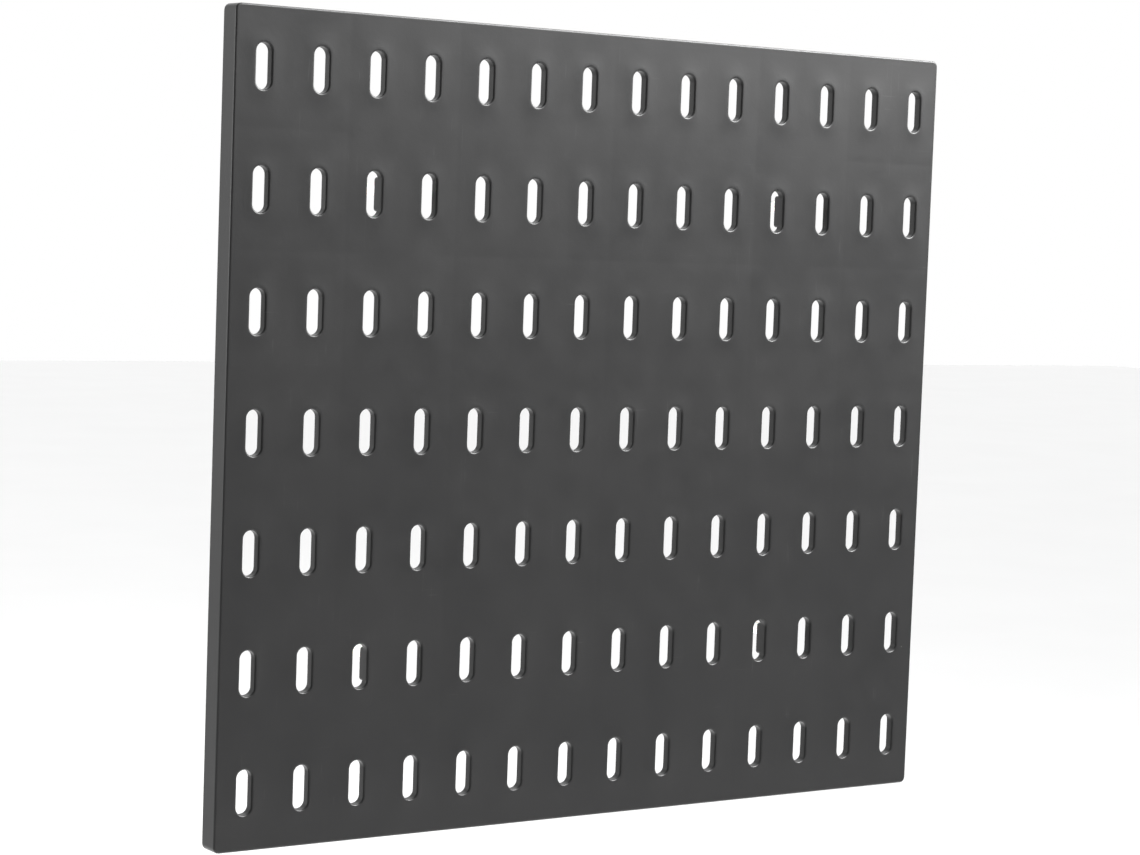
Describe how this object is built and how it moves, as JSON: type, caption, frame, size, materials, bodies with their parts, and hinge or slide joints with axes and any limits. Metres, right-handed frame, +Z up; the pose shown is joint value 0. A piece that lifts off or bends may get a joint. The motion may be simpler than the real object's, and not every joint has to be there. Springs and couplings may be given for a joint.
{
  "type": "slotted tool wall board",
  "caption": "Shallow rectangular moulded board with a regular grid of upright slots for tool hooks, hung on wall screws by keyhole pockets behind it.",
  "frame": {"origin": "centre of the four hanging screws on the wall's surface", "axes": "+X to the right across the board, +Y into the wall, +Z up; the front face looks along -Y"},
  "size_m": [0.3926, 0.0435, 0.3712],
  "materials": {
    "board_plastic": "fine satin grain, moulded",
    "screw_steel": "bright zinc plating",
    "plug_nylon": "smooth natural nylon"
  },
  "bodies": {
    "wall_fixings": {"wall_screw_upper_left": "screw_steel", "wall_screw_upper_right": "screw_steel", "wall_screw_lower_left": "screw_steel", "wall_screw_lower_right": "screw_steel", "wall_plug_upper_left": "plug_nylon", "wall_plug_upper_right": "plug_nylon", "wall_plug_lower_left": "plug_nylon", "wall_plug_lower_right": "plug_nylon"},
    "board": {"slotted_board": "board_plastic"}
  },
  "joints": [
    {"name": "hang_lift", "type": "slide", "parent": "wall_fixings", "child": "board", "axis": [0, 0, 1], "range_m": [0, 0.005]}
  ]
}
